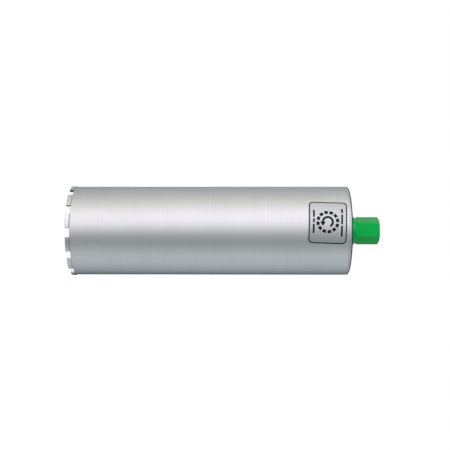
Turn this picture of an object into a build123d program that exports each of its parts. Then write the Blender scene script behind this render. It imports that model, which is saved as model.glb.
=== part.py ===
from build123d import *
import math
import os

# A wet diamond core bit, standing on its crown. It is a thin steel tube with twelve sintered
# diamond segments welded round its lower end. A turned plate closes the upper end and carries
# the hexagonal connector that screws onto the drilling machine's spindle.
# Millimetres. +Z runs up the axis from the cutting faces, and -Y is the side with the label.

# crown
bit_diameter = 152.0  # over the outsides of the segments
segment_count = 12
segment_length = 24.5  # along the arc, at the outside
segment_height = 7.2  # from the cutting face up to the tube
segment_thickness = 4.0
segment_clearance = 1.0  # how far a segment stands outside the tube
segment_foot = 1.0  # height over which it narrows to the tube's wall
segment_cutting_bevel = 0.5
segment_end_bevel = 0.4
segment_clock = 287.3  # direction of the first segment, in degrees from +X

# tube
tube_length = 456.0
tube_wall = 2.0

# end plate
flange_thickness = 4.5
flange_bevel = 1.4  # outside edge of the end face
register_depth = 5.0  # of the step that centres the plate in the tube
register_gap = 0.05  # all round, in the tube
register_bevel = 1.0

# groove weld between the tube and the plate, ground nearly flush
weld_groove_depth = 1.4
weld_groove_crown = 0.1  # how far the bead stands outside the tube

# connector, with its heights from the plate's end face
spigot_diameter = 32.0
spigot_gap = 0.05  # all round, in the plate
spigot_reach = 1.5  # past the plate's inner face
collar_diameter = 47.0
collar_length = 11.3
collar_bevel = 0.6
neck_diameter = 40.0  # at the bottom of the groove between the collar and the hexagon
neck_drop = 1.2  # from the collar up to the bottom of the groove
hex_across_flats = 41.0
hex_corner_diameter = 46.6  # turned over the corners
hex_root_bevel = 3.3  # from the bottom of the groove up to the full corners
hex_clock = 266.5  # direction that one flat faces, in degrees from +X
connector_length = 53.0
end_face_diameter = 39.4
end_bevel_angle = 30.0
thread_diameter = 31.75  # 1 1/4 inch, seven turns to the inch, drawn plain at its full diameter
thread_depth = 38.0
thread_mouth_bevel = 1.5
drill_point_angle = 118.0
water_bore_diameter = 20.0

# fillet weld round the foot of the connector
foot_weld_leg = 5.0
foot_weld_crown = 0.7

# foil label
label_length = 63.0  # along the tube
label_width = 72.5  # round the tube
label_thickness = 0.2
label_glue = 0.2  # film between the label and the tube
label_corner = 5.0
label_rear_gap = 9.4  # from the plate's end face to the label
label_clock = 258.6  # direction of the label's middle, in degrees from +X
label_skew = 2.1  # stuck on a little askew, clockwise in degrees

# sizes that follow
bit_radius = bit_diameter / 2
tube_outside = bit_radius - segment_clearance
tube_inside = tube_outside - tube_wall
tube_end = segment_height + tube_length
end_face = tube_end + flange_thickness
plate_underside = tube_end - register_depth
groove_bottom = tube_outside - weld_groove_depth
spigot_radius = spigot_diameter / 2
collar_radius = collar_diameter / 2
thread_radius = thread_diameter / 2
water_bore_radius = water_bore_diameter / 2
connector_foot = plate_underside - spigot_reach
connector_top = end_face + connector_length


def turned(*outline):
    """A turned piece from its half section, whose points are (radius, height)."""
    return revolve(make_face(Plane.XZ * Polyline(*outline, close=True)), Axis.Z)


def weld_bead(upper, lower, root, crown):
    """A ring of weld metal in a corner, with a face that stands crown proud between its two edges."""
    chord = Vector(*lower) - Vector(*upper)
    outward = Vector(-chord.Y, chord.X).normalized()
    crest = (Vector(*upper) + Vector(*lower)) * 0.5 + outward * crown
    return turned(upper, (crest.X, crest.Y), lower, root)


def segment():
    """One diamond segment, centred on +X."""
    inside = bit_radius - segment_thickness
    foot_bottom = segment_height - segment_foot
    section = Polyline(
        (inside + segment_cutting_bevel, 0),
        (bit_radius - segment_cutting_bevel, 0),
        (bit_radius, segment_cutting_bevel),
        (bit_radius, foot_bottom),
        (tube_outside, segment_height),
        (tube_inside, segment_height),
        (inside, foot_bottom),
        (inside, segment_cutting_bevel),
        close=True,
    )
    arc = math.degrees(segment_length / bit_radius)
    block = Rot(Z=-arc / 2) * revolve(make_face(Plane.XZ * section), Axis.Z, arc)
    upright = block.edges().filter_by(Axis.Z)
    return chamfer(upright, segment_end_bevel)


def core_tube():
    """The barrel, with its upper end bevelled for the groove weld."""
    return turned(
        (tube_inside, segment_height),
        (tube_outside, segment_height),
        (tube_outside, tube_end - weld_groove_depth),
        (groove_bottom, tube_end),
        (tube_inside, tube_end),
    )


def end_plate():
    """The disc that closes the barrel: a flange on its end and a register inside it."""
    bore = spigot_radius + spigot_gap
    register = tube_inside - register_gap
    return turned(
        (bore, plate_underside),
        (register - register_bevel, plate_underside),
        (register, plate_underside + register_bevel),
        (register, tube_end),
        (groove_bottom, tube_end),
        (tube_outside, tube_end + weld_groove_depth),
        (tube_outside, end_face - flange_bevel),
        (tube_outside - flange_bevel, end_face),
        (bore, end_face),
    )


def plate_weld():
    """The ring of weld that fills the groove between the barrel and the plate."""
    return weld_bead(
        upper=(tube_outside, tube_end + weld_groove_depth),
        lower=(tube_outside, tube_end - weld_groove_depth),
        root=(groove_bottom, tube_end),
        crown=weld_groove_crown,
    )


def hex_connector():
    """Spigot, round collar and hexagon in one turned piece, bored for the spindle and the water."""
    collar_top = end_face + collar_length
    neck = collar_top + neck_drop
    neck_radius = neck_diameter / 2
    base = turned(
        (0, connector_foot),
        (spigot_radius, connector_foot),
        (spigot_radius, end_face),
        (collar_radius, end_face),
        (collar_radius, collar_top - collar_bevel),
        (collar_radius - collar_bevel, collar_top),
        (neck_radius, neck),
        (0, neck),
    )

    corner_radius = hex_corner_diameter / 2
    end_radius = end_face_diameter / 2
    bevel_drop = (corner_radius - end_radius) * math.tan(math.radians(end_bevel_angle))
    blank = turned(
        (0, neck),
        (neck_radius, neck),
        (corner_radius, neck + hex_root_bevel),
        (corner_radius, connector_top - bevel_drop),
        (end_radius, connector_top),
        (0, connector_top),
    )
    outline = RegularPolygon(hex_across_flats / 2, 6, major_radius=False)
    prism = extrude(Pos(Z=neck) * Rot(Z=hex_clock - 30) * outline, connector_top - neck)

    thread_bottom = connector_top - thread_depth
    point = (thread_radius - water_bore_radius) / math.tan(math.radians(drill_point_angle / 2))
    bore = turned(
        (0, connector_foot),
        (water_bore_radius, connector_foot),
        (water_bore_radius, thread_bottom - point),
        (thread_radius, thread_bottom),
        (thread_radius, connector_top - thread_mouth_bevel),
        (thread_radius + thread_mouth_bevel, connector_top),
        (0, connector_top),
    )
    return base + (blank & prism) - bore


def foot_weld():
    """The fillet weld round the foot of the connector."""
    return weld_bead(
        upper=(collar_radius, end_face + foot_weld_leg),
        lower=(collar_radius + foot_weld_leg, end_face),
        root=(collar_radius, end_face),
        crown=foot_weld_crown,
    )


def label():
    """The foil label, a rounded rectangle laid round the tube."""
    middle = end_face - label_rear_gap - label_length / 2
    back = tube_outside + label_glue
    front = back + label_thickness
    skin = turned(
        (back, segment_height),
        (front, segment_height),
        (front, tube_end),
        (back, tube_end),
    )
    # the sketch faces along +X, with the label's width across it and its length upright
    half_width = back * math.sin(label_width / 2 / back)
    outline = Rot(Z=-label_skew) * RectangleRounded(2 * half_width, label_length, label_corner)
    cutter = extrude(Plane.YZ * outline, 2 * front)
    return skin & (Pos(Z=middle) * Rot(Z=label_clock) * cutter)


nodes = {
    "core_tube": core_tube(),
    "end_plate": end_plate(),
    "plate_weld": plate_weld(),
    "hex_connector": hex_connector(),
    "foot_weld": foot_weld(),
    "label": label(),
}
one_segment = segment()
for number in range(segment_count):
    turn = segment_clock + number * 360 / segment_count
    nodes[f"segment_{number + 1:02d}"] = Rot(Z=turn) * one_segment

os.makedirs("parts", exist_ok=True)
for name, shape in nodes.items():
    export_step(shape, f"parts/{name}.step")
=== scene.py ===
from math import cos, pi, radians, sin, tan

import bmesh
import bpy
from mathutils import Matrix, Vector, noise


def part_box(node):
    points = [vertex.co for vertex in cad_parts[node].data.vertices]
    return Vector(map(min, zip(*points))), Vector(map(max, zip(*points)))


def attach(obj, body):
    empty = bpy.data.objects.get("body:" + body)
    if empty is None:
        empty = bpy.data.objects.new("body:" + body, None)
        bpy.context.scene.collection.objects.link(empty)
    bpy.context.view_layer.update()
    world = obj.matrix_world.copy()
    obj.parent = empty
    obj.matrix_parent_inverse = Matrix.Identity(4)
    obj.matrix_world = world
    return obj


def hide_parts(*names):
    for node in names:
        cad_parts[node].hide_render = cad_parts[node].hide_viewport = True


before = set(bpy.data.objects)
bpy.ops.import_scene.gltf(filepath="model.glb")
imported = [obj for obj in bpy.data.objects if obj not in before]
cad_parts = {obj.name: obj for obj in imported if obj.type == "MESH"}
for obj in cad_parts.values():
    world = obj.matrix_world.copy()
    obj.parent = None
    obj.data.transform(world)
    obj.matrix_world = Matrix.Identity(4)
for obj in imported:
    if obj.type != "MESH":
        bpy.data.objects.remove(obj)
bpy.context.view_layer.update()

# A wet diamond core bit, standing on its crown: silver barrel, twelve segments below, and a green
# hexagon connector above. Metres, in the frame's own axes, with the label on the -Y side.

mm = 0.001
mergeGap = 0.001 * mm  # corners that lie closer than this become one
scene = bpy.context.scene
scene.view_settings.view_transform = "Standard"

# the frame's own levels and radii, which every piece below starts from
barrelLow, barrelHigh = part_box("core_tube")
plateLow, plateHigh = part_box("end_plate")
hexLow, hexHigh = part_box("hex_connector")
footLow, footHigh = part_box("foot_weld")
barrelRadius = barrelHigh.x
crownTop = barrelLow.z
barrelEnd = barrelHigh.z
plateTop = plateHigh.z
hexTop = hexHigh.z


# shared ways of building a mesh

def newLoop(bm, points):
    verts = [bm.verts.new((r, 0, z)) for r, z in points]
    edges = [bm.edges.new(pair) for pair in zip(verts, verts[1:] + verts[:1])]
    return verts + edges


def lathe(points, steps):
    bm = bmesh.new()
    bmesh.ops.spin(bm, geom=newLoop(bm, points), cent=(0, 0, 0), axis=(0, 0, 1), angle=2 * pi,
                   steps=steps, use_merge=True, use_duplicate=False)
    bmesh.ops.remove_doubles(bm, verts=bm.verts, dist=mergeGap)
    bmesh.ops.recalc_face_normals(bm, faces=bm.faces)
    return bm


def roundRing(bm, radius, z, size, segments):
    near = 0.02 * mm
    ring = [edge for edge in bm.edges
            if all(abs(v.co.z - z) < near and abs(v.co.xy.length - radius) < near for v in edge.verts)]
    bmesh.ops.bevel(bm, geom=ring, offset=size, segments=segments, profile=0.5, affect="EDGES",
                    material=-1, clamp_overlap=True)


flatCorners = 8  # a face with this many corners or more, such as a milled flat, is shaded flat


def addPiece(name, bm, materials, nodes, sharpAngle=30):
    for face in bm.faces:
        face.smooth = len(face.verts) < flatCorners
    for edge in bm.edges:
        edge.smooth = edge.calc_face_angle(0) < radians(sharpAngle)
    mesh = bpy.data.meshes.new(name)
    bm.to_mesh(mesh)
    bm.free()
    for material in materials:
        mesh.materials.append(material)
    piece = bpy.data.objects.new(name, mesh)
    scene.collection.objects.link(piece)
    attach(piece, "root")
    if nodes:
        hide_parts(*nodes)
    return piece


# shared ways of wiring a material
wideTone = (0.2, 0.8)  # the part of a pattern's range over which a gentle change of roughness runs
narrowTone = (0.3, 0.7)  # the same for a quicker change
maskSamples = 6  # rays for each point of the edge mask and the hollow mask
edgeMask = {"width": 0.5 * mm, "breakup": 500.0, "gain": 9.0, "patches": (0.35, 0.6, 0.25, 1.0)}


def feed(tree, socket, value):
    if isinstance(value, bpy.types.NodeSocket):
        tree.links.new(value, socket)
    else:
        socket.default_value = value


def addNode(tree, kind, inputs=None, **settings):
    node = tree.nodes.new(kind)
    for name, value in settings.items():
        setattr(node, name, value)
    for name, value in (inputs or {}).items():
        feed(tree, node.inputs[name], value)
    return node


def calc(tree, operation, a, b, clamp=False):
    node = addNode(tree, "ShaderNodeMath", {0: a, 1: b}, operation=operation, use_clamp=clamp)
    return node.outputs[0]


def blendColor(tree, factor, a, b):
    node = addNode(tree, "ShaderNodeMix", {0: factor, 6: a, 7: b}, data_type="RGBA")
    return node.outputs[2]


def spread(tree, value, low, high, toLow, toHigh):
    node = addNode(tree, "ShaderNodeMapRange", {0: value, 1: low, 2: high, 3: toLow, 4: toHigh})
    return node.outputs[0]


def bump(tree, height, strength, distance, normal=None):
    node = addNode(tree, "ShaderNodeBump", {"Height": height, "Strength": strength, "Distance": distance})
    if normal:
        tree.links.new(normal, node.inputs["Normal"])
    return node.outputs["Normal"]


def startGroup(name, inputs, outputs):
    tree = bpy.data.node_groups.new(name, "ShaderNodeTree")
    for socketName, value in inputs.items():
        socket = tree.interface.new_socket(socketName, in_out="INPUT", socket_type="NodeSocketFloat")
        socket.default_value = value
    for socketName in outputs:
        tree.interface.new_socket(socketName, in_out="OUTPUT", socket_type="NodeSocketFloat")
    return tree, tree.nodes.new("NodeGroupInput").outputs, tree.nodes.new("NodeGroupOutput").inputs


def useGroup(tree, group, inputs):
    node = addNode(tree, "ShaderNodeGroup", node_tree=group)
    for name, value in inputs.items():
        feed(tree, node.inputs[name], value)
    return node.outputs


def makeRingGroup():  # fine rings round the axis, as turning and linishing leave them
    tree, given, out = startGroup("turnedRings", {"Around": 7.0, "Along": 900.0}, ["Rings"])
    place = addNode(tree, "ShaderNodeTexCoord").outputs["Object"]
    pull = addNode(tree, "ShaderNodeCombineXYZ",
                   {0: given["Around"], 1: given["Around"], 2: given["Along"]})
    stretched = addNode(tree, "ShaderNodeVectorMath", {0: place, 1: pull.outputs[0]},
                        operation="MULTIPLY")
    grain = addNode(tree, "ShaderNodeTexNoise", {"Vector": stretched.outputs[0], "Scale": 1.0,
                                                 "Detail": 4.0, "Roughness": 0.6})
    feed(tree, out["Rings"], grain.outputs["Fac"])
    return tree


def makeSkinGroup():  # blotches, orange peel and flakes of a sprayed coat
    tree, given, out = startGroup("sprayedSkin", {"Blotch": 14.0, "Peel": 700.0, "Flake": 4200.0},
                                  ["Blotches", "Peel", "Flakes"])
    place = addNode(tree, "ShaderNodeTexCoord").outputs["Object"]
    blotch = addNode(tree, "ShaderNodeTexNoise", {"Vector": place, "Scale": given["Blotch"],
                                                  "Detail": 3.0, "Roughness": 0.55})
    peel = addNode(tree, "ShaderNodeTexNoise", {"Vector": place, "Scale": given["Peel"],
                                                "Detail": 2.0, "Roughness": 0.5})
    flake = addNode(tree, "ShaderNodeTexVoronoi", {"Vector": place, "Scale": given["Flake"]})
    shade = addNode(tree, "ShaderNodeSeparateColor", {0: flake.outputs["Color"]})
    feed(tree, out["Blotches"], blotch.outputs["Fac"])
    feed(tree, out["Peel"], peel.outputs["Fac"])
    feed(tree, out["Flakes"], shade.outputs[0])
    return tree


def makeEdgeWearAndShadeGroup():  # where an edge turns sharply, broken up in patches as rubbing breaks a coat; the painted coats and the segments use it for painted shade along their edges
    tree, given, out = startGroup("rubbedAndShadedEdges",
                                  {"Width": edgeMask["width"], "Breakup": edgeMask["breakup"]}, ["Edge"])
    soft = addNode(tree, "ShaderNodeBevel", {"Radius": given["Width"]}, samples=maskSamples).outputs[0]
    sharp = addNode(tree, "ShaderNodeNewGeometry").outputs["Normal"]
    facing = addNode(tree, "ShaderNodeVectorMath", {0: soft, 1: sharp}, operation="DOT_PRODUCT")
    turn = calc(tree, "SUBTRACT", 1.0, facing.outputs["Value"])
    turn = calc(tree, "MULTIPLY", turn, edgeMask["gain"], clamp=True)
    place = addNode(tree, "ShaderNodeTexCoord").outputs["Object"]
    ragged = addNode(tree, "ShaderNodeTexNoise", {"Vector": place, "Scale": given["Breakup"],
                                                  "Detail": 3.0})
    broken = spread(tree, ragged.outputs["Fac"], *edgeMask["patches"])
    feed(tree, out["Edge"], calc(tree, "MULTIPLY", turn, broken, clamp=True))
    return tree


def makeHollowGroup():  # painted shade in joints and corners, where light doesn't reach: a mask of how closed in each point is
    tree, given, out = startGroup("paintedCornerShade", {"Reach": 2.0 * mm}, ["Hollow"])
    openness = addNode(tree, "ShaderNodeAmbientOcclusion", {"Distance": given["Reach"]},
                       samples=maskSamples)
    feed(tree, out["Hollow"], calc(tree, "SUBTRACT", 1.0, openness.outputs["AO"], clamp=True))
    return tree


ringGroup = makeRingGroup()
skinGroup = makeSkinGroup()
edgeWearAndShadeGroup = makeEdgeWearAndShadeGroup()
cornerShadeGroup = makeHollowGroup()
print("shared node groups ready")


def startMaterial(name):
    material = bpy.data.materials.new(name)
    material.use_nodes = True
    tree = material.node_tree
    return material, tree, tree.nodes["Principled BSDF"].inputs


def paintedMetal(name, look):
    material, tree, shader = startMaterial(name)
    skin = useGroup(tree, skinGroup, look["skin"])
    rings = useGroup(tree, ringGroup, look["rings"])
    edge = useGroup(tree, edgeWearAndShadeGroup, {"Width": look["edgeWidth"], "Breakup": look["edgeBreakup"]})
    cornerShade = useGroup(tree, cornerShadeGroup, {"Reach": look["cornerShadeReach"]})
    tone = calc(tree, "ADD", calc(tree, "MULTIPLY", skin["Blotches"], look["blotchShare"]),
                calc(tree, "MULTIPLY", rings["Rings"], look["ringShare"]))
    tone = calc(tree, "ADD", tone, calc(tree, "MULTIPLY", skin["Flakes"], look["flakeShare"]))
    coat = blendColor(tree, tone, look["dark"], look["light"])
    # painted shade: sharp edges darken towards the dark edge colour
    edgeShaded = blendColor(tree, calc(tree, "MULTIPLY", edge["Edge"], look["edgeShare"]), coat, look["edge"])
    # painted shade: joints and corners darken towards the corner-shade colour
    cornerShading = calc(tree, "MULTIPLY", cornerShade["Hollow"], look["cornerShadeShare"], clamp=True)
    feed(tree, shader["Base Color"], blendColor(tree, cornerShading, edgeShaded, look["cornerShade"]))
    feed(tree, shader["Roughness"], spread(tree, tone, *wideTone, *look["roughness"]))
    shader["Metallic"].default_value = look["metallic"]
    shader["Specular IOR Level"].default_value = look["specular"]
    shader["Coat Weight"].default_value = look["coat"]
    shader["Coat Roughness"].default_value = look["coatRoughness"]
    if look["slantCoat"]:  # a gloss that only shows at a slant
        slant = addNode(tree, "ShaderNodeLayerWeight", {"Blend": 0.5}).outputs["Facing"]
        feed(tree, shader["Coat Weight"], spread(tree, slant, *look["slantCoat"], 0.0, 1.0))
    grooves = bump(tree, rings["Rings"], look["ringBump"], look["ringDepth"])
    feed(tree, shader["Normal"], bump(tree, skin["Peel"], look["peelBump"], look["peelDepth"], grooves))
    return material


silverLook = {
    "dark": (0.50, 0.52, 0.535, 1), "light": (0.72, 0.735, 0.75, 1),
    # painted shade: the edge and corner colours are dark, for shade along edges and in corners
    "edge": (0.13, 0.155, 0.185, 1), "cornerShade": (0.16, 0.17, 0.19, 1),
    "metallic": 0.94, "roughness": (0.36, 0.30), "specular": 0.5,
    "coat": 0.12, "coatRoughness": 0.3, "slantCoat": None,
    "blotchShare": 0.42, "ringShare": 0.42, "flakeShare": 0.16,
    "skin": {"Blotch": 11.0, "Peel": 650.0, "Flake": 4200.0},
    "rings": {"Around": 5.0, "Along": 620.0},
    "ringBump": 0.10, "ringDepth": 0.05 * mm, "peelBump": 0.12, "peelDepth": 0.08 * mm,
    "edgeWidth": 0.9 * mm, "edgeBreakup": 400.0, "edgeShare": 0.85,
    "cornerShadeReach": 2.5 * mm, "cornerShadeShare": 0.8,
}
silverPaint = paintedMetal("silverPaint", silverLook)

weldLook = dict(silverLook, roughness=(0.48, 0.38), ringBump=0.0, peelBump=0.5,
                skin={"Blotch": 60.0, "Peel": 1500.0, "Flake": 3000.0})
weldPaint = paintedMetal("weldPaint", weldLook)

# painted shade: a dark blue copy of the silver for the plate's rim, standing for shade and dark reflection
# along its chamfer
rimShadeLook = dict(silverLook, dark=(0.04, 0.085, 0.115, 1), light=(0.09, 0.15, 0.19, 1))
rimShadePaint = paintedMetal("rimShadePaint", rimShadeLook)

greenLook = {
    "dark": (0.0, 0.32, 0.05, 1), "light": (0.003, 0.49, 0.08, 1),
    "edge": (0.0, 0.17, 0.05, 1), "cornerShade": (0.0, 0.12, 0.04, 1),
    "metallic": 0.45, "roughness": (0.36, 0.26), "specular": 0.15,
    "coat": 0.0, "coatRoughness": 0.14, "slantCoat": (0.45, 0.62),
    "blotchShare": 0.6, "ringShare": 0.25, "flakeShare": 0.15,
    "skin": {"Blotch": 45.0, "Peel": 480.0, "Flake": 2500.0},
    "rings": {"Around": 30.0, "Along": 900.0},
    "ringBump": 0.06, "ringDepth": 0.05 * mm, "peelBump": 0.22, "peelDepth": 0.08 * mm,
    "edgeWidth": 0.4 * mm, "edgeBreakup": 500.0, "edgeShare": 0.2,
    "cornerShadeReach": 1.6 * mm, "cornerShadeShare": 0.1,
}
greenPaint = paintedMetal("greenPaint", greenLook)

# painted light: a lighter copy of the green for the neck's groove, to lift the shade that falls there
grooveLitLook = dict(greenLook, dark=(0.0, 0.45, 0.08, 1), light=(0.01, 0.66, 0.13, 1),
                  edgeShare=0.0, cornerShadeShare=0.0)
grooveLitPaint = paintedMetal("grooveLitPaint", grooveLitLook)


def makeGrit(name, look):  # sintered metal with diamonds, under a thin spray of the silver coat
    material, tree, shader = startMaterial(name)
    place = addNode(tree, "ShaderNodeTexCoord").outputs["Object"]
    skin = useGroup(tree, skinGroup, look["skin"])
    edge = useGroup(tree, edgeWearAndShadeGroup, {"Width": look["edgeWidth"], "Breakup": look["edgeBreakup"]})
    cornerShade = useGroup(tree, cornerShadeGroup, {"Reach": look["cornerShadeReach"]})
    grain = addNode(tree, "ShaderNodeTexVoronoi", {"Vector": place, "Scale": look["grainScale"]})
    seat = spread(tree, grain.outputs["Distance"], *look["seatSpan"], 1.0, 0.0)
    coat = blendColor(tree, skin["Blotches"], look["dark"], look["light"])
    coat = blendColor(tree, calc(tree, "MULTIPLY", seat, look["diamondShare"]), coat, look["diamond"])
    facing = addNode(tree, "ShaderNodeNewGeometry").outputs["Normal"]
    down = addNode(tree, "ShaderNodeSeparateXYZ", {0: facing}).outputs[2]
    onward = addNode(tree, "ShaderNodeVectorMath", {0: (0, 0, 1), 1: place}, operation="CROSS_PRODUCT")
    onward = addNode(tree, "ShaderNodeVectorMath", {0: onward.outputs[0]}, operation="NORMALIZE")
    ahead = addNode(tree, "ShaderNodeVectorMath", {0: facing, 1: onward.outputs[0]},
                    operation="DOT_PRODUCT")
    worn = spread(tree, down, *look["groundSpan"], 0.0, look["groundShare"])
    coat = blendColor(tree, worn, coat, look["ground"])
    # painted shade: the end faces that look one way round the crown are painted near black
    endShade = spread(tree, ahead.outputs["Value"], *look["endShadeSpan"], 0.0, look["endShadeShare"])
    coat = blendColor(tree, endShade, coat, look["endShade"])
    # painted shade: the segments' sharp edges darken towards the dark edge colour
    coat = blendColor(tree, calc(tree, "MULTIPLY", edge["Edge"], look["edgeShare"]), coat, look["edge"])
    # painted shade: joints and corners of the segments darken towards the corner-shade colour
    cornerShading = calc(tree, "MULTIPLY", cornerShade["Hollow"], look["cornerShadeShare"], clamp=True)
    feed(tree, shader["Base Color"], blendColor(tree, cornerShading, coat, look["cornerShade"]))
    feed(tree, shader["Roughness"], spread(tree, skin["Peel"], *narrowTone, *look["roughness"]))
    shader["Metallic"].default_value = look["metallic"]
    rough = bump(tree, skin["Peel"], look["peelBump"], look["peelDepth"])
    feed(tree, shader["Normal"], bump(tree, seat, look["seatBump"], look["seatDepth"], rough))
    return material


gritLook = {
    "dark": (0.52, 0.535, 0.55, 1), "light": (0.77, 0.785, 0.80, 1), "diamond": (0.86, 0.86, 0.85, 1),
    "ground": (0.17, 0.165, 0.16, 1), "edge": (0.22, 0.225, 0.24, 1), "cornerShade": (0.10, 0.105, 0.12, 1),
    "endShade": (0.05, 0.052, 0.058, 1), "metallic": 0.94, "roughness": (0.26, 0.18),
    "skin": {"Blotch": 90.0, "Peel": 1600.0, "Flake": 2600.0},
    "grainScale": 900.0, "seatSpan": (0.08, 0.30), "diamondShare": 0.5,
    "groundSpan": (-0.5, -0.9), "groundShare": 0.75, "endShadeSpan": (0.12, 0.45), "endShadeShare": 0.88,
    "edgeWidth": 0.45 * mm, "edgeBreakup": 900.0, "edgeShare": 0.5,
    "cornerShadeReach": 2.0 * mm, "cornerShadeShare": 0.3,
    "peelBump": 0.35, "peelDepth": 0.10 * mm, "seatBump": 0.3, "seatDepth": 0.08 * mm,
}
segmentGrit = makeGrit("segmentGrit", gritLook)


def makeSteel(name, look):  # bare turned steel, lightly oiled
    material, tree, shader = startMaterial(name)
    rings = useGroup(tree, ringGroup, look["rings"])
    skin = useGroup(tree, skinGroup, look["skin"])
    edge = useGroup(tree, edgeWearAndShadeGroup, {"Width": look["edgeWidth"], "Breakup": look["edgeBreakup"]})
    tone = calc(tree, "ADD", calc(tree, "MULTIPLY", rings["Rings"], look["ringShare"]),
                calc(tree, "MULTIPLY", skin["Blotches"], look["blotchShare"]))
    metal = blendColor(tree, tone, look["dark"], look["light"])
    bright = calc(tree, "MULTIPLY", edge["Edge"], look["edgeShare"])
    feed(tree, shader["Base Color"], blendColor(tree, bright, metal, look["edge"]))
    feed(tree, shader["Roughness"], spread(tree, tone, *narrowTone, *look["roughness"]))
    shader["Metallic"].default_value = 1.0
    feed(tree, shader["Normal"], bump(tree, rings["Rings"], look["ringBump"], look["ringDepth"]))
    return material


steelLook = {
    "dark": (0.30, 0.295, 0.285, 1), "light": (0.56, 0.55, 0.53, 1), "edge": (0.72, 0.71, 0.69, 1),
    "roughness": (0.40, 0.26), "ringShare": 0.5, "blotchShare": 0.5,
    "skin": {"Blotch": 40.0, "Peel": 900.0, "Flake": 2000.0},
    "rings": {"Around": 20.0, "Along": 2600.0}, "ringBump": 0.25, "ringDepth": 0.04 * mm,
    "edgeWidth": 0.3 * mm, "edgeBreakup": 900.0, "edgeShare": 0.5,
}
boreSteel = makeSteel("boreSteel", steelLook)


def makeFoil(name, look):  # silver film with a faint brushed grain across it
    material, tree, shader = startMaterial(name)
    rings = useGroup(tree, ringGroup, look["rings"])
    skin = useGroup(tree, skinGroup, look["skin"])
    edge = useGroup(tree, edgeWearAndShadeGroup, {"Width": look["edgeWidth"], "Breakup": look["edgeBreakup"]})
    tone = calc(tree, "ADD", calc(tree, "MULTIPLY", rings["Rings"], look["ringShare"]),
                calc(tree, "MULTIPLY", skin["Blotches"], look["blotchShare"]))
    tone = calc(tree, "ADD", tone, calc(tree, "MULTIPLY", skin["Flakes"], look["flakeShare"]))
    film = blendColor(tree, tone, look["dark"], look["light"])
    bright = calc(tree, "MULTIPLY", edge["Edge"], look["edgeShare"])
    feed(tree, shader["Base Color"], blendColor(tree, bright, film, look["edge"]))
    feed(tree, shader["Roughness"], spread(tree, tone, *wideTone, *look["roughness"]))
    shader["Metallic"].default_value = look["metallic"]
    feed(tree, shader["Normal"], bump(tree, skin["Peel"], look["peelBump"], look["peelDepth"]))
    return material


foilLook = {
    "dark": (0.43, 0.455, 0.47, 1), "light": (0.555, 0.585, 0.60, 1), "edge": (0.80, 0.81, 0.83, 1),
    "metallic": 0.92, "roughness": (0.38, 0.32), "ringShare": 0.35, "blotchShare": 0.35, "flakeShare": 0.3,
    "skin": {"Blotch": 55.0, "Peel": 1200.0, "Flake": 5200.0}, "peelBump": 0.06, "peelDepth": 0.05 * mm,
    "rings": {"Around": 60.0, "Along": 900.0},
    "edgeWidth": 0.9 * mm, "edgeBreakup": 900.0, "edgeShare": 0.9,
}
labelFoil = makeFoil("labelFoil", foilLook)


def makeInk(name, look):  # screen-printed black, a little uneven
    material, tree, shader = startMaterial(name)
    skin = useGroup(tree, skinGroup, look["skin"])
    feed(tree, shader["Base Color"], blendColor(tree, skin["Blotches"], look["dark"], look["light"]))
    feed(tree, shader["Roughness"], spread(tree, skin["Peel"], *narrowTone, *look["roughness"]))
    shader["Specular IOR Level"].default_value = look["specular"]
    feed(tree, shader["Normal"], bump(tree, skin["Peel"], look["peelBump"], look["peelDepth"]))
    return material


inkLook = {
    "dark": (0.003, 0.004, 0.005, 1), "light": (0.01, 0.012, 0.014, 1),
    "roughness": (0.55, 0.42), "specular": 0.1,
    "skin": {"Blotch": 160.0, "Peel": 1800.0, "Flake": 6000.0}, "peelBump": 0.08, "peelDepth": 0.03 * mm,
}
printInk = makeInk("printInk", inkLook)

borderLook = dict(inkLook, dark=(0.002, 0.003, 0.004, 1), light=(0.009, 0.01, 0.012, 1),
                  roughness=(0.5, 0.4), specular=0.05)
borderInk = makeInk("borderInk", borderLook)
print("materials ready")


# barrel: a thin tube, with the small radii of a deburred cut at its open end
barrel = {"wall": 2.0 * mm, "deburr": 0.25 * mm, "deburrSteps": 2, "groove": 1.4 * mm, "steps": 256}


def buildBarrel():
    inside = barrelRadius - barrel["wall"]
    root = barrelRadius - barrel["groove"]
    bm = lathe([(inside, crownTop), (barrelRadius, crownTop), (barrelRadius, barrelEnd - barrel["groove"]),
                (root, barrelEnd), (inside, barrelEnd)], barrel["steps"])
    roundRing(bm, barrelRadius, crownTop, barrel["deburr"], barrel["deburrSteps"])
    roundRing(bm, inside, crownTop, barrel["deburr"], barrel["deburrSteps"])
    return addPiece("barrel", bm, [silverPaint], ["core_tube"])


buildBarrel()


# end plate: flange over the barrel's end, register inside it, and the bore for the connector
plate = {
    "wall": 2.0 * mm, "registerGap": 0.05 * mm, "registerBevel": 1.0 * mm, "groove": 1.4 * mm,
    "rimBevel": 1.4 * mm, "rimRound": 0.3 * mm, "roundSteps": 3, "rimBand": 0.9 * mm,
    "levelTurn": 0.93,  # faces of the rim that look further up than this keep the silver
    "boreRadius": 16.05 * mm, "steps": 256,
}


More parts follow.
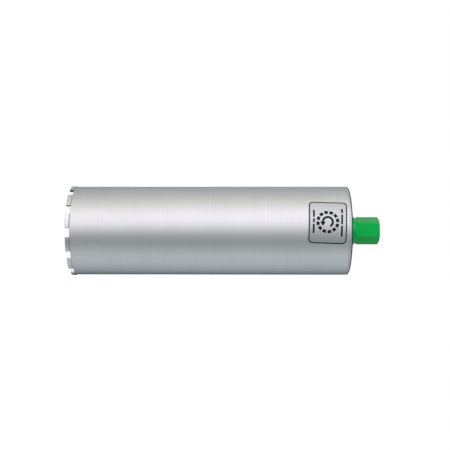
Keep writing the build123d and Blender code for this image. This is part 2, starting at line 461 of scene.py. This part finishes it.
def buildPlate():
    register = barrelRadius - plate["wall"] - plate["registerGap"]
    root = barrelRadius - plate["groove"]
    rimFoot = plateTop - plate["rimBevel"]
    rimTop = barrelRadius - plate["rimBevel"]
    rimShadeFoot = rimFoot - plate["rimBand"]
    bm = lathe([(plate["boreRadius"], plateLow.z), (register - plate["registerBevel"], plateLow.z),
                (register, plateLow.z + plate["registerBevel"]), (register, barrelEnd), (root, barrelEnd),
                (barrelRadius, barrelEnd + plate["groove"]), (barrelRadius, rimShadeFoot), (barrelRadius, rimFoot),
                (rimTop, plateTop), (plate["boreRadius"], plateTop)], plate["steps"])
    roundRing(bm, barrelRadius, rimFoot, plate["rimRound"], plate["roundSteps"])
    roundRing(bm, rimTop, plateTop, plate["rimRound"], plate["roundSteps"])
    # painted shade: the rim's chamfer and the narrow band below it take the dark rim paint
    for face in bm.faces:
        middle = face.calc_center_median()
        if middle.z > rimShadeFoot and middle.xy.length > rimTop and face.normal.z < plate["levelTurn"]:
            face.material_index = 1
    return addPiece("endPlate", bm, [silverPaint, rimShadePaint], ["end_plate"])


buildPlate()


# seam: the groove weld between barrel and plate, ground back nearly flush by hand
seam = {
    "crown": 0.1 * mm, "groove": 1.4 * mm, "faceSteps": 6, "steps": 360,
    "waver": 0.05 * mm, "waverScale": 90.0, "ground": 0.4,  # ground off, as a share of the waver
    "edgeShare": 0.2,  # share of the crown below which the bead's edges stay put
}


def buildSeam():
    low = barrelEnd - seam["groove"]
    high = barrelEnd + seam["groove"]
    root = (barrelRadius - seam["groove"], barrelEnd)
    rise = []
    for step in range(seam["faceSteps"] + 1):
        rise.append((barrelRadius + seam["crown"] * sin(pi * step / seam["faceSteps"]),
                     low + (high - low) * step / seam["faceSteps"]))
    bm = lathe(rise + [root], seam["steps"])
    for vert in bm.verts:
        if vert.co.xy.length > barrelRadius + seam["edgeShare"] * seam["crown"]:
            grind = noise.noise(vert.co * seam["waverScale"])
            vert.co.xy *= 1 + seam["waver"] * (grind - seam["ground"]) / barrelRadius
    return addPiece("seamWeld", bm, [weldPaint], ["plate_weld"])


buildSeam()


# foot weld: a hand-laid fillet whose ripples follow one another round the collar
foot = {"bow": 0.7 * mm, "ripples": 92, "rippleHeight": 0.22 * mm, "lag": 0.9, "waver": 0.25 * mm,
        "waverScale": 1.8, "edgeKeep": 0.05 * mm, "faceSteps": 8, "steps": 552}


def buildFoot():
    leg = footHigh.z - footLow.z
    inner = footHigh.x - leg
    face = []
    for step in range(foot["faceSteps"] + 1):
        share = step / foot["faceSteps"]
        lift = foot["bow"] * sin(pi * share) / 2 ** 0.5
        face.append((inner + leg * share + lift, footLow.z + leg * (1 - share) + lift))
    bm = lathe(face + [(inner, footLow.z)], foot["steps"])
    for vert in bm.verts:
        reach = vert.co.xy.length - inner
        if min(reach, vert.co.z - footLow.z) < foot["edgeKeep"]:
            continue
        share = reach / leg
        angle = Vector((1, 0)).angle_signed(vert.co.xy)
        arch = sin(pi * min(max(share, 0), 1))
        ripple = abs(sin(foot["ripples"] * angle / 2 + foot["lag"] * arch))
        uneven = noise.noise(Vector((cos(angle), sin(angle), share)) * foot["waverScale"])
        push = (foot["rippleHeight"] * (ripple - 1) + foot["waver"] * uneven) * arch
        outward = Vector((cos(-angle), sin(-angle), 1)).normalized()
        vert.co += outward * push
    return addPiece("footWeld", bm, [weldPaint], ["foot_weld"], sharpAngle=50)


buildFoot()
print("barrel, plate and welds built")


# connector: turned blank, six milled flats, threaded for the spindle and bored for the water
hexBar = {
    "spigotRadius": 16.0 * mm, "collarLength": 11.3 * mm, "collarRound": 0.7 * mm, "collarSteps": 4,
    "neckRadius": 20.0 * mm, "neckDrop": 1.2 * mm, "neckFillet": 2.3 * mm, "neckSteps": 8,
    "flatRadius": 20.5 * mm, "cornerRadius": 23.3 * mm, "rootBevel": 3.3 * mm, "clock": 266.5,
    "endRadius": 19.7 * mm, "endAngle": 30, "endRound": 0.4 * mm, "endSteps": 3,
    "threadRadius": 15.875 * mm, "threadDepth": 38.0 * mm, "mouthBevel": 1.5 * mm,
    "waterRadius": 10.0 * mm, "drillAngle": 118, "steps": 240,
    "boreTurn": 0.95,  # bare steel where the bore's faces look less along the axis than this
    "grooveTurn": 0.2,  # painted light: the lighter green where the groove's faces look more along the axis than this
}


def buildConnector():
    collarTop = plateTop + hexBar["collarLength"]
    neck = collarTop + hexBar["neckDrop"]
    drop = (hexBar["cornerRadius"] - hexBar["endRadius"]) * tan(radians(hexBar["endAngle"]))
    boreEnd = hexTop - hexBar["threadDepth"]
    point = (hexBar["threadRadius"] - hexBar["waterRadius"]) / tan(radians(hexBar["drillAngle"] / 2))
    bm = lathe([
        (hexBar["waterRadius"], hexLow.z), (hexBar["spigotRadius"], hexLow.z),
        (hexBar["spigotRadius"], plateTop), (hexHigh.x, plateTop), (hexHigh.x, collarTop),
        (hexBar["neckRadius"], neck), (hexBar["cornerRadius"], neck + hexBar["rootBevel"]),
        (hexBar["cornerRadius"], hexTop - drop), (hexBar["endRadius"], hexTop),
        (hexBar["threadRadius"] + hexBar["mouthBevel"], hexTop),
        (hexBar["threadRadius"], hexTop - hexBar["mouthBevel"]), (hexBar["threadRadius"], boreEnd),
        (hexBar["waterRadius"], boreEnd - point),
    ], hexBar["steps"])
    roundRing(bm, hexHigh.x, collarTop, hexBar["collarRound"], hexBar["collarSteps"])
    roundRing(bm, hexBar["neckRadius"], neck, hexBar["neckFillet"], hexBar["neckSteps"])
    roundRing(bm, hexBar["endRadius"], hexTop, hexBar["endRound"], hexBar["endSteps"])
    millFrom = neck - 0.01 * mm  # the mill reaches down to here
    for side in range(6):
        angle = radians(hexBar["clock"] + 60 * side)
        facing = Vector((cos(angle), sin(angle), 0))
        above = [v for v in bm.verts if v.co.z > millFrom]
        edges = [e for e in bm.edges if all(v.co.z > millFrom for v in e.verts)]
        faces = [f for f in bm.faces if all(v.co.z > millFrom for v in f.verts)]
        cut = bmesh.ops.bisect_plane(bm, geom=above + edges + faces, dist=mergeGap,
                                     plane_co=facing * hexBar["flatRadius"], plane_no=facing,
                                     clear_outer=True)
        rim = [e for e in cut["geom_cut"] if isinstance(e, bmesh.types.BMEdge)]
        bmesh.ops.contextual_create(bm, geom=rim)
    ledges = [e for e in bm.edges if e.is_boundary]  # where a flat runs out in the rounded neck
    bmesh.ops.holes_fill(bm, edges=ledges, sides=0)
    bmesh.ops.recalc_face_normals(bm, faces=bm.faces)
    mouthRadius = hexBar["threadRadius"] + hexBar["mouthBevel"]
    grooveLow = collarTop - hexBar["collarRound"]
    grooveHigh = neck + hexBar["rootBevel"]
    for face in bm.faces:
        middle = face.calc_center_median()
        inBore = middle.xy.length < mouthRadius and middle.z > boreEnd - point
        if inBore and abs(face.normal.z) < hexBar["boreTurn"]:
            face.material_index = 1
        # painted light: the groove's faces take the lighter green
        elif grooveLow < middle.z < grooveHigh and abs(face.normal.z) > hexBar["grooveTurn"]:
            face.material_index = 2
    return addPiece("hexConnector", bm, [greenPaint, boreSteel, grooveLitPaint],
                    ["hex_connector"], sharpAngle=24)


buildConnector()


# thread: the ridge of a right-hand helix on the bore's wall, cut back on a cone at the mouth
thread = {"pitch": 25.4 / 7 * mm, "crestRadius": 13.95 * mm, "rootRadius": 16.05 * mm,
          "crestFlat": 0.9 * mm, "rootFlat": 0.45 * mm, "stepsPerTurn": 72, "endClear": 0.6 * mm,
          "topClear": 0.1 * mm, "sink": 0.05 * mm, "fadeTurns": 0.35}


def buildThread():
    pitch = thread["pitch"]
    half = (pitch - thread["rootFlat"]) / 2
    start = hexTop - hexBar["threadDepth"] + pitch / 2 + thread["endClear"]
    turns = (hexTop - thread["topClear"] - half - start) / pitch
    steps = round(turns * thread["stepsPerTurn"])
    bm = bmesh.new()
    ridge = newLoop(bm, [(thread["rootRadius"], start - half), (thread["rootRadius"], start + half),
                         (thread["crestRadius"], start + thread["crestFlat"] / 2),
                         (thread["crestRadius"], start - thread["crestFlat"] / 2)])
    bmesh.ops.contextual_create(bm, geom=ridge)
    bmesh.ops.spin(bm, geom=bm.faces[:], cent=(0, 0, 0), axis=(0, 0, 1),
                   dvec=(0, 0, turns * pitch / steps), angle=2 * pi * turns, steps=steps,
                   use_merge=False, use_duplicate=False)
    mouth = hexTop - hexBar["mouthBevel"]
    low = start - half
    fade = start + thread["fadeTurns"] * pitch  # the ridge rises out of the wall up to here
    for vert in bm.verts:
        radius = vert.co.xy.length
        cone = hexBar["threadRadius"] + (vert.co.z - mouth) + thread["sink"]
        wanted = max(radius, cone)
        if vert.co.z < fade:
            risen = min(max((vert.co.z - low) / (fade - low), 0), 1)
            wanted = max(wanted, thread["rootRadius"] - (thread["rootRadius"] - radius) * risen)
        vert.co.xy *= wanted / radius
    bmesh.ops.recalc_face_normals(bm, faces=bm.faces)
    return addPiece("spindleThread", bm, [boreSteel], [], sharpAngle=35)


buildThread()
print("connector and thread built")


# segments: sintered blocks, one shape turned to twelve places, each with its own rough skin
crown = {
    "count": 12, "clock": 287.3, "arcLength": 24.5 * mm, "radius": 76.0 * mm, "thickness": 4.0 * mm,
    "foot": 1.0 * mm, "cuttingBevel": 0.5 * mm, "wall": 2.0 * mm, "steps": 26,
    "longEdge": 1.65 * mm, "cuts": 4,  # an edge of the outline that is longer is cut up
    "sharpEnd": 60, "endRound": 0.4 * mm, "endSteps": 3,
    "skinHeight": 0.045 * mm, "skinScale": 700.0, "skinSink": 0.6, "plainTop": 0.3 * mm,
}


def buildSegment(number):
    inside = crown["radius"] - crown["thickness"]
    bevel = crown["cuttingBevel"]
    footLevel = crownTop - crown["foot"]
    points = [(inside + bevel, 0), (crown["radius"] - bevel, 0), (crown["radius"], bevel),
              (crown["radius"], footLevel), (barrelRadius, crownTop),
              (barrelRadius - crown["wall"], crownTop), (inside, footLevel), (inside, bevel)]
    arc = crown["arcLength"] / crown["radius"]
    bm = bmesh.new()
    newLoop(bm, points)
    long = [edge for edge in bm.edges if edge.calc_length() > crown["longEdge"]]
    bmesh.ops.subdivide_edges(bm, edges=long, cuts=crown["cuts"])
    bmesh.ops.contextual_create(bm, geom=bm.edges[:])
    bmesh.ops.spin(bm, geom=bm.faces[:], cent=(0, 0, 0), axis=(0, 0, 1), angle=arc,
                   steps=crown["steps"], use_merge=False, use_duplicate=False)
    bmesh.ops.recalc_face_normals(bm, faces=bm.faces)
    ends = [edge for edge in bm.edges if edge.calc_face_angle(0) > radians(crown["sharpEnd"])]
    bmesh.ops.bevel(bm, geom=ends, offset=crown["endRound"], segments=crown["endSteps"], profile=0.5,
                    affect="EDGES", material=-1, clamp_overlap=True)
    turn = radians(crown["clock"] + 360 / crown["count"] * number) - arc / 2
    bmesh.ops.rotate(bm, verts=bm.verts, cent=(0, 0, 0), matrix=Matrix.Rotation(turn, 3, "Z"))
    bm.normal_update()
    for vert in bm.verts:
        if vert.co.z < crownTop - crown["plainTop"]:
            pit = noise.noise(vert.co * crown["skinScale"]) - crown["skinSink"]
            vert.co += vert.normal * crown["skinHeight"] * pit
        vert.co.z = max(vert.co.z, 0)
    node = f"segment_{number + 1:02d}"
    return addPiece(f"diamondSegment{number + 1:02d}", bm, [segmentGrit], [node])


for number in range(crown["count"]):
    buildSegment(number)
print("segments built")


# label: plain foil laid round the barrel
label = {
    "length": 63.0 * mm, "width": 72.5 * mm, "corner": 5.0 * mm, "clock": 258.6, "skew": -2.1,
    "rearGap": 9.4 * mm, "standOff": 0.2 * mm, "thickness": 0.2 * mm, "cornerSteps": 8, "bends": 48,
    "cutGap": 0.0001 * mm,
}


def wrapPoint(across, along, height):  # from the flat sheet to its place round the barrel
    skew = radians(label["skew"])
    u = across * cos(skew) - along * sin(skew)
    v = across * sin(skew) + along * cos(skew)
    radius = barrelRadius + label["standOff"]
    angle = radians(label["clock"]) + u / radius
    middle = plateTop - label["rearGap"] - label["length"] / 2
    return Vector(((radius + height) * cos(angle), (radius + height) * sin(angle), middle + v))


def cutForBend(bm):  # upright cuts, so that the flat sheet can follow the barrel
    width = label["width"]
    for bend in range(1, label["bends"]):
        place = Vector((width * (bend / label["bends"] - 0.5), 0, 0))
        bmesh.ops.bisect_plane(bm, geom=bm.verts[:] + bm.edges[:] + bm.faces[:], dist=label["cutGap"],
                               plane_co=place, plane_no=(1, 0, 0))


def addRoundedSheet(bm, inset, corner):
    sheet = bmesh.ops.create_grid(bm, x_segments=1, y_segments=1, size=1)["verts"]
    half = (label["width"] / 2 - inset, label["length"] / 2 - inset, 1)
    bmesh.ops.scale(bm, vec=half, verts=sheet)
    bmesh.ops.bevel(bm, geom=sheet, offset=corner, segments=label["cornerSteps"],
                    profile=0.5, affect="VERTICES", material=-1)


def thickenAndWrap(bm, bottom, top):
    for face in bm.faces:
        face.normal_update()
        if face.normal.z < 0:
            face.normal_flip()
    cutForBend(bm)
    bmesh.ops.translate(bm, vec=(0, 0, bottom), verts=bm.verts)
    solid = bmesh.ops.extrude_face_region(bm, geom=bm.faces[:], use_keep_orig=True)["geom"]
    lifted = [v for v in solid if isinstance(v, bmesh.types.BMVert)]
    bmesh.ops.translate(bm, vec=(0, 0, top - bottom), verts=lifted)
    bmesh.ops.recalc_face_normals(bm, faces=bm.faces)
    for vert in bm.verts:
        vert.co = wrapPoint(*vert.co)
    bm.normal_update()


def buildLabel():
    bm = bmesh.new()
    addRoundedSheet(bm, 0, label["corner"])
    thickenAndWrap(bm, 0, label["thickness"])
    return addPiece("foilLabel", bm, [labelFoil], ["label"])


buildLabel()


# print on the label: a border, a crown seen end-on, an arrow for its turn, and plain rules
prints = {
    "margin": 0.6 * mm, "line": 1.85 * mm, "corner": 6.9 * mm, "offCentre": 0.25 * mm,
    "rise": 0.03 * mm, "sink": 0.01 * mm,
    "ringSegments": 12, "ringInner": 13.5 * mm, "ringOuter": 18.6 * mm, "ringGap": 9, "ringSteps": 6,
    "arrowInner": 6.2 * mm, "arrowOuter": 9.8 * mm, "arrowFrom": 30, "arrowSweep": 240, "arrowSteps": 40,
    "headLength": 7.0 * mm, "headWidth": 9.6 * mm,
    "ruleAlong": (-22.6 * mm, 23.0 * mm), "ruleWidth": 3.0 * mm, "ruleSteps": 8,
    "rules": (((-20.0, -7.5), (-5.0, 1.5), (4.0, 19.0)), ((-23.0, -15.5), (-13.0, 3.0), (5.5, 23.0))),
}


def addArc(bm, inner, outer, fromAngle, sweep, steps):
    start = radians(fromAngle)
    ends = [bm.verts.new((r * cos(start), r * sin(start), 0)) for r in (inner, outer)]
    edge = bm.edges.new(ends)
    bmesh.ops.spin(bm, geom=ends + [edge], cent=(0, 0, 0), axis=(0, 0, 1), angle=radians(sweep),
                   steps=steps, use_merge=False, use_duplicate=False)


def buildPrint():
    bm = bmesh.new()
    addRoundedSheet(bm, prints["margin"], prints["corner"])
    inside = bm.faces[:]
    bmesh.ops.inset_region(bm, faces=inside, thickness=prints["line"], use_boundary=True)
    bmesh.ops.delete(bm, geom=inside, context="FACES_ONLY")
    bmesh.ops.translate(bm, vec=(0, prints["offCentre"], 0), verts=bm.verts)
    for face in bm.faces:
        face.material_index = 1
    pitch = 360 / prints["ringSegments"]
    for number in range(prints["ringSegments"]):
        addArc(bm, prints["ringInner"], prints["ringOuter"], number * pitch, pitch - prints["ringGap"],
               prints["ringSteps"])
    addArc(bm, prints["arrowInner"], prints["arrowOuter"], prints["arrowFrom"], prints["arrowSweep"],
           prints["arrowSteps"])
    tip = radians(prints["arrowFrom"] + prints["arrowSweep"])
    radius = (prints["arrowInner"] + prints["arrowOuter"]) / 2
    middle = Vector((radius * cos(tip), radius * sin(tip), 0))
    away = Vector((cos(tip), sin(tip), 0)) * prints["headWidth"] / 2
    ahead = Vector((-sin(tip), cos(tip), 0)) * prints["headLength"]
    bm.faces.new([bm.verts.new(p) for p in (middle + away, middle + ahead, middle - away)])
    for along, rules in zip(prints["ruleAlong"], prints["rules"]):
        for start, end in rules:
            bar = bmesh.ops.create_grid(bm, x_segments=prints["ruleSteps"], y_segments=1,
                                        size=0.5)["verts"]
            bmesh.ops.scale(bm, vec=((end - start) * mm, prints["ruleWidth"], 1), verts=bar)
            bmesh.ops.translate(bm, vec=((start + end) / 2 * mm, along, 0), verts=bar)
    thickenAndWrap(bm, label["thickness"] - prints["sink"], label["thickness"] + prints["rise"])
    return addPiece("labelPrint", bm, [printInk, borderInk], [])


buildPrint()
print("label and print built")


# studio: white floor and world, with a tent of panels that only polished surfaces mirror
floor = {"size": 16.0, "cells": 4, "color": (0.88, 0.88, 0.88, 1), "tint": (0.84, 0.84, 0.85, 1),
         "fibreScale": 30.0, "roughness": 0.95, "white": 1.05,
         "whiteShare": (0.9, 1.0), "fade": (0.35, 1.2)}  # the paper's own shade shows near the bit only
tent = {
    "radius": 2.4, "height": 0.25, "around": 96, "upright": 48,
    "panels": [  # direction round the bit from the label's side, towards +X, and the panel's light
        (-180, (0.16, 0.18, 0.20)), (-150, (0.41, 0.44, 0.45)), (-120, (0.565, 0.595, 0.595)),
        (-90, (0.85, 0.83, 0.785)), (-65, (1.21, 1.145, 1.11)), (-45, (1.545, 1.45, 1.48)),
        (-28, (1.57, 1.485, 1.57)), (-12, (1.21, 1.18, 1.21)), (3, (0.66, 0.67, 0.68)),
        (18, (0.37, 0.39, 0.38)), (32, (0.34, 0.36, 0.35)), (50, (0.547, 0.575, 0.585)),
        (70, (0.722, 0.74, 0.76)), (95, (0.615, 0.652, 0.68)), (122, (0.42, 0.467, 0.495)),
        (147, (0.12, 0.16, 0.18)), (160, (0.0, 0.01, 0.02)), (180, (0.0, 0.0, 0.005)),
    ],
    "ceiling": (0.20, 0.23, 0.27, 1), "ceilingFrom": (42, 62),  # degrees above the horizon
}
lamps = [
    {"name": "keySoftbox", "azimuth": -38, "height": 0.95, "distance": 1.9, "size": (0.7, 1.5),
     "power": 18.0, "color": (1.0, 0.98, 1.0)},
    {"name": "fillSoftbox", "azimuth": 80, "height": 0.8, "distance": 2.0, "size": (0.9, 1.3),
     "power": 6.0, "color": (0.96, 0.98, 1.0)},
    {"name": "topSoftbox", "azimuth": -160, "height": 2.2, "distance": 0.9, "size": (1.2, 1.2),
     "power": 12.0, "color": (1.0, 1.0, 1.0)},
]
skyLevel = 0.5


def lookAlong(place, target):
    return (target - place).to_track_quat("-Z", "Y").to_matrix().to_4x4()


def addStage(name, bm, material):
    mesh = bpy.data.meshes.new(name)
    bm.to_mesh(mesh)
    bm.free()
    mesh.materials.append(material)
    piece = bpy.data.objects.new(name, mesh)
    scene.collection.objects.link(piece)
    return piece


def buildFloor():
    material, tree, shader = startMaterial("floorPaper")
    place = addNode(tree, "ShaderNodeTexCoord").outputs["Object"]
    fibre = addNode(tree, "ShaderNodeTexNoise", {"Vector": place, "Scale": floor["fibreScale"],
                                                 "Detail": 3.0})
    feed(tree, shader["Base Color"], blendColor(tree, fibre.outputs["Fac"], floor["tint"], floor["color"]))
    shader["Roughness"].default_value = floor["roughness"]
    shader["Specular IOR Level"].default_value = 0.0
    path = addNode(tree, "ShaderNodeLightPath").outputs
    seen = calc(tree, "ADD", path["Is Camera Ray"], path["Is Glossy Ray"], clamp=True)
    seen = calc(tree, "ADD", seen, path["Is Transmission Ray"], clamp=True)
    white = addNode(tree, "ShaderNodeEmission", {"Strength": floor["white"]})
    away = addNode(tree, "ShaderNodeVectorMath", {0: place}, operation="LENGTH").outputs["Value"]
    share = calc(tree, "MULTIPLY", seen, spread(tree, away, *floor["fade"], *floor["whiteShare"]))
    both = addNode(tree, "ShaderNodeMixShader", {0: share})
    tree.links.new(tree.nodes["Principled BSDF"].outputs[0], both.inputs[1])
    tree.links.new(white.outputs[0], both.inputs[2])
    tree.links.new(both.outputs[0], tree.nodes["Material Output"].inputs["Surface"])
    bm = bmesh.new()
    bmesh.ops.create_grid(bm, x_segments=floor["cells"], y_segments=floor["cells"],
                          size=floor["size"] / 2)
    addStage("studioFloor", bm, material).visible_glossy = False


def buildTent():
    material = bpy.data.materials.new("tentPanels")
    material.use_nodes = True
    tree = material.node_tree
    tree.nodes.remove(tree.nodes["Principled BSDF"])
    place = addNode(tree, "ShaderNodeTexCoord").outputs["Object"]
    ray = addNode(tree, "ShaderNodeVectorMath", {0: place}, operation="NORMALIZE").outputs[0]
    axes = addNode(tree, "ShaderNodeSeparateXYZ", {0: ray}).outputs
    turn = calc(tree, "ARCTAN2", axes[0], calc(tree, "MULTIPLY", axes[1], -1.0))
    ramp = addNode(tree, "ShaderNodeValToRGB", {0: spread(tree, turn, -pi, pi, 0.0, 1.0)})
    stops = ramp.color_ramp.elements
    panels = [((direction + 180) / 360, color + (1,)) for direction, color in tent["panels"]]
    stops[0].position, stops[0].color = panels[0]
    stops[1].position, stops[1].color = panels[-1]
    for position, color in panels[1:-1]:
        stops.new(position).color = color
    low, high = (sin(radians(angle)) for angle in tent["ceilingFrom"])
    above = spread(tree, axes[2], low, high, 0.0, 1.0)
    glow = blendColor(tree, above, ramp.outputs[0], tent["ceiling"])
    panel = addNode(tree, "ShaderNodeEmission", {"Color": glow, "Strength": 1.0})
    tree.links.new(panel.outputs[0], tree.nodes["Material Output"].inputs["Surface"])
    bm = bmesh.new()
    bmesh.ops.create_uvsphere(bm, u_segments=tent["around"], v_segments=tent["upright"],
                              radius=tent["radius"])
    piece = addStage("lightTent", bm, material)
    piece.location.z = tent["height"]
    piece.visible_camera = piece.visible_diffuse = piece.visible_shadow = False
    piece.visible_transmission = piece.visible_volume_scatter = False


def buildWorld():
    world = bpy.data.worlds.new("whiteStudio")
    scene.world = world
    world.use_nodes = True
    tree = world.node_tree
    path = addNode(tree, "ShaderNodeLightPath").outputs
    seen = calc(tree, "ADD", path["Is Camera Ray"], path["Is Glossy Ray"], clamp=True)
    seen = calc(tree, "ADD", seen, path["Is Transmission Ray"], clamp=True)
    strength = spread(tree, seen, 0.0, 1.0, skyLevel, 1.0)
    feed(tree, tree.nodes["Background"].inputs["Strength"], strength)
    tree.nodes["Background"].inputs["Color"].default_value = (1, 1, 1, 1)


def buildLamps():
    for lamp in lamps:
        light = bpy.data.lights.new(lamp["name"], "AREA")
        light.shape = "RECTANGLE"
        light.size, light.size_y = lamp["size"]
        light.energy = lamp["power"]
        light.color = lamp["color"]
        place = bpy.data.objects.new(lamp["name"], light)
        scene.collection.objects.link(place)
        angle = radians(lamp["azimuth"])
        spot = Vector((sin(angle) * lamp["distance"], -cos(angle) * lamp["distance"], lamp["height"]))
        place.matrix_world = Matrix.Translation(spot) @ lookAlong(spot, Vector((0, 0, hexTop / 2)))
        place.visible_camera = False
        place.visible_glossy = False


buildFloor()
buildTent()
buildWorld()
buildLamps()


# camera: level with the bit's middle and turned a quarter, so that the axis lies across
camera = {"lens": 65.71, "sensor": 36.0, "distance": 1.4053, "up": 0.00965, "along": 0.02202,
          "yaw": 0.0113, "roll": 0.0006, "near": 0.01, "far": 50,
          "barrelMiddle": (crownTop + plateTop) / 2}


def buildCamera():
    data = bpy.data.cameras.new("photoCamera")
    data.lens = camera["lens"]
    data.sensor_width = camera["sensor"]
    data.clip_start = camera["near"]
    data.clip_end = camera["far"]
    piece = bpy.data.objects.new("photoCamera", data)
    scene.collection.objects.link(piece)
    yaw = camera["yaw"]
    back = Vector((0, -cos(yaw), sin(yaw)))
    right = Vector((0, sin(yaw), cos(yaw)))
    up = Vector((-1, 0, 0))
    place = Vector((0, 0, camera["barrelMiddle"])) + right * camera["along"] + up * camera["up"]
    place += back * camera["distance"]
    turned = Matrix((right, up, back)).transposed() @ Matrix.Rotation(camera["roll"], 3, "Z")
    piece.matrix_world = Matrix.Translation(place) @ turned.to_4x4()
    scene.camera = piece


buildCamera()
print("studio and camera ready")
